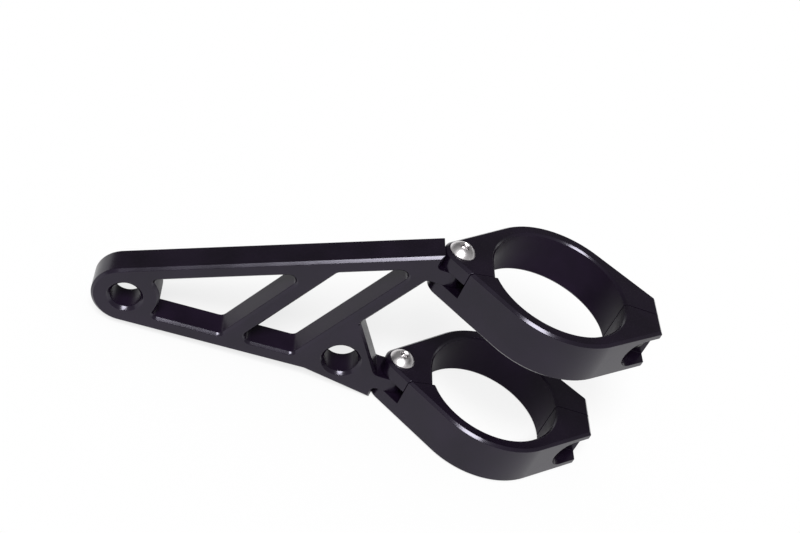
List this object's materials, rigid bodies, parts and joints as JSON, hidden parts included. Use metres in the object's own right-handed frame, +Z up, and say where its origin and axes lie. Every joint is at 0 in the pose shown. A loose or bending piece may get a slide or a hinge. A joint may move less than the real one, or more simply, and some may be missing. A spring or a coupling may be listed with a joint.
{
  "type": "headlight mounting bracket",
  "caption": "Headlight bracket: a black anodised truss arm with lamp and indicator bores, hinged to split clamps that close round a fork tube with cross screws.",
  "frame": {"origin": "on the fork tube's axis, at the underside of the lower clamp", "axes": "+Z up along the fork tube; the arm lies in the XZ plane and reaches along -X to the lamp bore; the front jaws with the screw heads are on the -Y side"},
  "size_m": [0.1891, 0.06, 0.0743],
  "materials": {
    "black_anodised": "satin black anodised, milled",
    "stainless_screw": "bright stainless steel",
    "black_screw": "black oxide steel"
  },
  "bodies": {
    "arm": {"arm": "black_anodised"},
    "lower_clamp": {"lower_front_jaw": "black_anodised", "lower_rear_jaw": "black_anodised", "lower_hinge_screw": "stainless_screw", "lower_clamp_screw": "black_screw"},
    "upper_clamp": {"upper_front_jaw": "black_anodised", "upper_rear_jaw": "black_anodised", "upper_hinge_screw": "stainless_screw", "upper_clamp_screw": "black_screw"}
  },
  "joints": [
    {"name": "lower_clamp_swivel", "type": "hinge", "parent": "arm", "child": "lower_clamp", "pos_m": [-0.03715, 0, 0.0089], "axis": [0, 0, 1], "range_deg": [-45, 45]},
    {"name": "upper_clamp_swivel", "type": "hinge", "parent": "arm", "child": "upper_clamp", "pos_m": [-0.03715, 0, 0.0628], "axis": [0, 0, 1], "range_deg": [-45, 45]}
  ]
}
